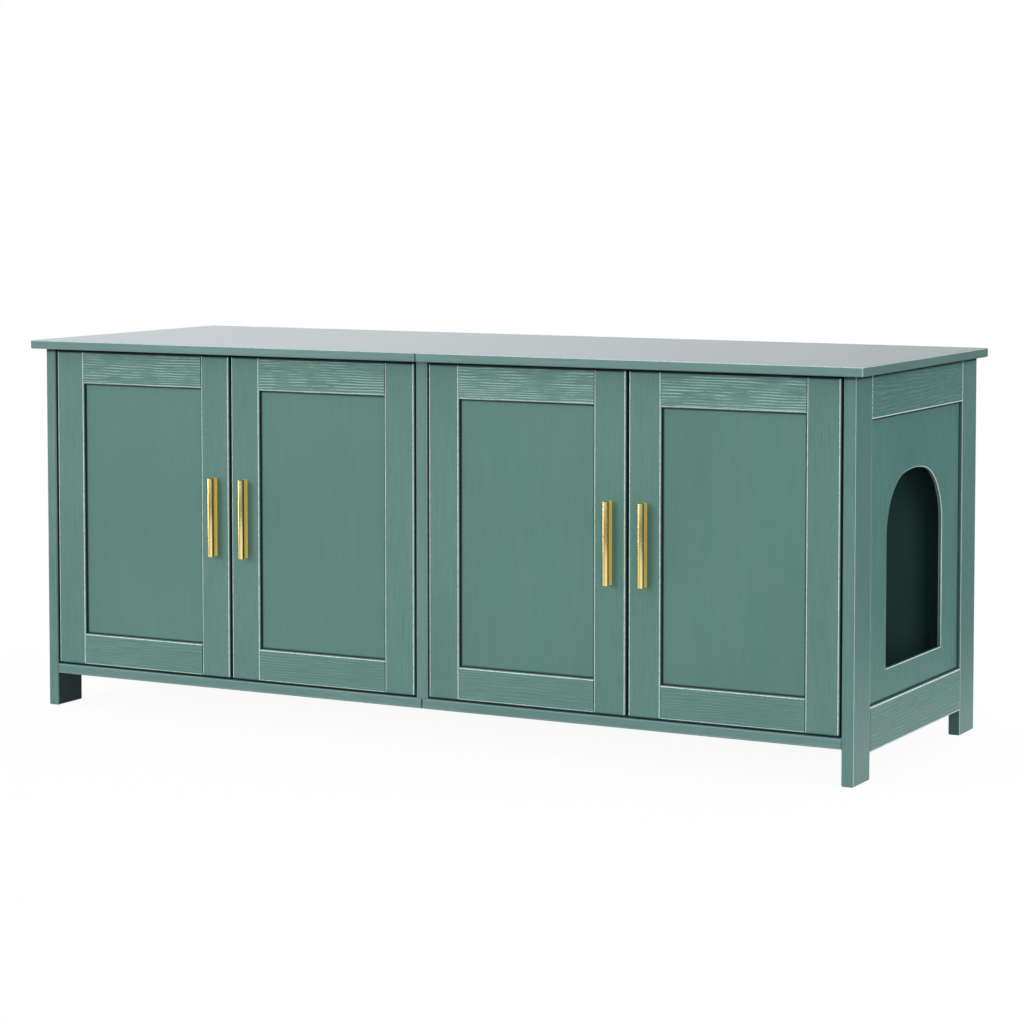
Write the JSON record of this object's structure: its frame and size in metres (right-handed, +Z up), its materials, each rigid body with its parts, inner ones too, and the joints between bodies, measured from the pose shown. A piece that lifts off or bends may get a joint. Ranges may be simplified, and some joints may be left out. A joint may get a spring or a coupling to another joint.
{
  "type": "cat litter cabinet",
  "caption": "Wide low painted cabinet that hides cat litter boxes, with framed doors hinged along its front, bar pulls, short legs and an arched cat entrance in one side.",
  "frame": {"origin": "on the floor, under the middle of the top board", "axes": "+X to the right seen from the front, +Y from the doors to the back, +Z up"},
  "size_m": [1.568, 0.574, 0.65],
  "materials": {
    "painted_wood": "satin sage green paint over fibreboard with an embossed grain",
    "painted_panel": "satin sage green paint, smoother than the frames",
    "painted_back": "thin painted fibreboard",
    "brass": "polished pale gold",
    "plated_steel": "nickel plated",
    "screw_steel": "bright zinc plated",
    "beech": "bare fluted beech",
    "zinc_fitting": "dull die-cast zinc"
  },
  "bodies": {
    "cabinet": {"top_left": "painted_wood", "top_right": "painted_wood", "bottom_left": "painted_wood", "bottom_right": "painted_wood", "left_front_leg": "painted_wood", "left_rear_leg": "painted_wood", "left_top_rail": "painted_wood", "left_bottom_rail": "painted_wood", "left_panel": "painted_panel", "right_front_leg": "painted_wood", "right_rear_leg": "painted_wood", "right_top_rail": "painted_wood", "right_bottom_rail": "painted_wood", "arch_panel": "painted_panel", "divider": "painted_wood", "back_left": "painted_back", "back_right": "painted_back", "middle_foot": "painted_wood", "hinge_arms": "plated_steel", "brackets": "plated_steel", "wood_screws": "screw_steel", "dowels": "beech", "cam_bolts": "zinc_fitting", "cam_discs": "zinc_fitting"},
    "door_1": {"door_1_hinge_stile": "painted_wood", "door_1_handle_stile": "painted_wood", "door_1_top_rail": "painted_wood", "door_1_bottom_rail": "painted_wood", "door_1_panel": "painted_panel", "door_1_pull": "brass", "door_1_hinge_cups": "plated_steel", "door_1_hinge_pins": "screw_steel", "door_1_screws": "screw_steel"},
    "door_2": {"door_2_hinge_stile": "painted_wood", "door_2_handle_stile": "painted_wood", "door_2_top_rail": "painted_wood", "door_2_bottom_rail": "painted_wood", "door_2_panel": "painted_panel", "door_2_pull": "brass", "door_2_hinge_cups": "plated_steel", "door_2_hinge_pins": "screw_steel", "door_2_screws": "screw_steel"},
    "door_3": {"door_3_hinge_stile": "painted_wood", "door_3_handle_stile": "painted_wood", "door_3_top_rail": "painted_wood", "door_3_bottom_rail": "painted_wood", "door_3_panel": "painted_panel", "door_3_pull": "brass", "door_3_hinge_cups": "plated_steel", "door_3_hinge_pins": "screw_steel", "door_3_screws": "screw_steel"},
    "door_4": {"door_4_hinge_stile": "painted_wood", "door_4_handle_stile": "painted_wood", "door_4_top_rail": "painted_wood", "door_4_bottom_rail": "painted_wood", "door_4_panel": "painted_panel", "door_4_pull": "brass", "door_4_hinge_cups": "plated_steel", "door_4_hinge_pins": "screw_steel", "door_4_screws": "screw_steel"}
  },
  "joints": [
    {"name": "door_1_hinge", "type": "hinge", "parent": "cabinet", "child": "door_1", "pos_m": [-0.727, -0.2575, 0.35475], "axis": [0, 0, -1], "range_deg": [0, 95]},
    {"name": "door_2_hinge", "type": "hinge", "parent": "cabinet", "child": "door_2", "pos_m": [-0.028, -0.2575, 0.35475], "axis": [0, 0, 1], "range_deg": [0, 88]},
    {"name": "door_3_hinge", "type": "hinge", "parent": "cabinet", "child": "door_3", "pos_m": [0.028, -0.2575, 0.35475], "axis": [0, 0, -1], "range_deg": [0, 88]},
    {"name": "door_4_hinge", "type": "hinge", "parent": "cabinet", "child": "door_4", "pos_m": [0.727, -0.2575, 0.35475], "axis": [0, 0, 1], "range_deg": [0, 95]}
  ]
}
